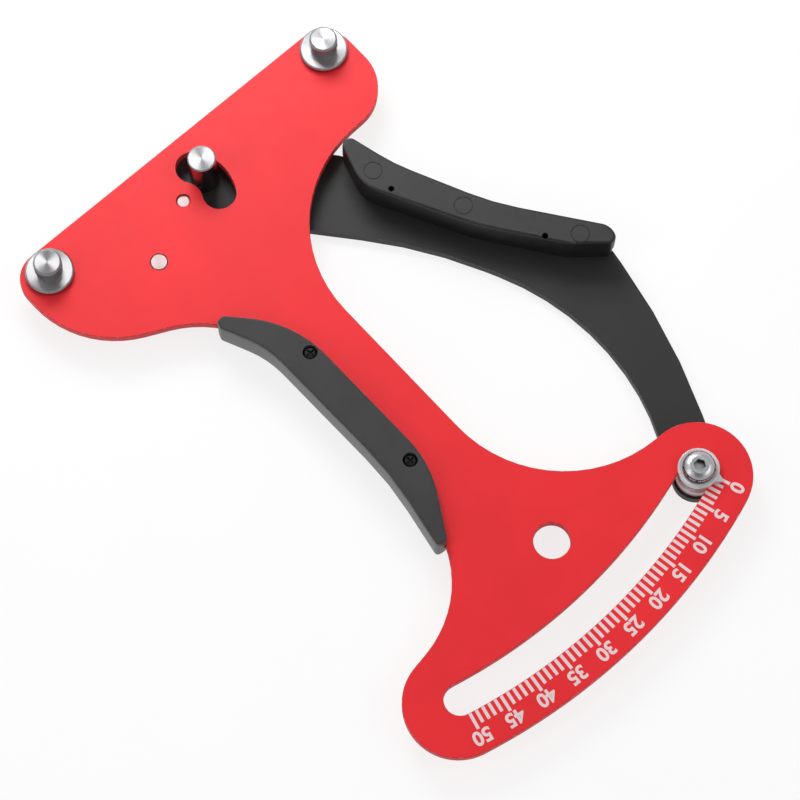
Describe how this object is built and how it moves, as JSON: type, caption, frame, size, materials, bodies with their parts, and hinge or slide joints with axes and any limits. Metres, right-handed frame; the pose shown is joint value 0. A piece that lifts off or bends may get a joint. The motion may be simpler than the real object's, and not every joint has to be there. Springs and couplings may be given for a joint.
{
  "type": "spoke tension meter",
  "caption": "Hand-held spoke tension meter: a flat frame with two fixed posts and an arc scale, and a sprung lever behind it with the moving post, a grip and the pointer.",
  "frame": {"origin": "under the middle of the whole tool, on the plane of the lever's rear face that it lies on", "axes": "+Z out of the frame's front face, towards the posts' ends; +Y up the tool, from the scale towards the row of posts; +X along the row of fixed posts, towards the lever's side"},
  "size_m": [0.143, 0.2018, 0.0188],
  "materials": {
    "red_coating": "satin red coating on a cut aluminium plate",
    "black_coating": "matt black coating on a cut steel plate",
    "turned_steel": "turned, with fine rings on the end faces",
    "zinc_steel": "zinc-plated fastener",
    "spring_steel": "drawn spring wire",
    "black_steel": "black oxide",
    "nylon": "natural nylon",
    "grip_plastic": "fine-grained dark grey moulded plastic",
    "grip_plastic_dark": "smooth black moulded plastic"
  },
  "bodies": {
    "frame": {"frame_plate": "red_coating", "fixed_post_left": "turned_steel", "fixed_post_right": "turned_steel", "post_screws": "zinc_steel", "pivot_pin": "turned_steel", "pivot_spacer": "black_steel", "pivot_washer": "nylon", "spring_stud": "turned_steel", "spring": "spring_steel", "frame_grip_front": "grip_plastic", "frame_grip_rear": "grip_plastic", "frame_grip_screws": "black_steel"},
    "lever": {"lever_plate": "black_coating", "moving_post": "turned_steel", "moving_post_screw": "zinc_steel", "spring_peg": "zinc_steel", "pointer": "turned_steel", "pointer_screw": "zinc_steel", "pointer_spacer": "turned_steel", "lever_grip_base": "grip_plastic_dark", "lever_grip_cap": "grip_plastic", "lever_grip_screws": "black_steel"}
  },
  "joints": [
    {"name": "lever_pivot", "type": "hinge", "parent": "frame", "child": "lever", "pos_m": [-0.01391, 0.08475, 0.0015], "axis": [0, 0, 1], "range_deg": [-32.5, 0], "stiffness_Nm_per_rad": 0.98, "springref_deg": 16.62, "deforming": ["spring"]}
  ]
}
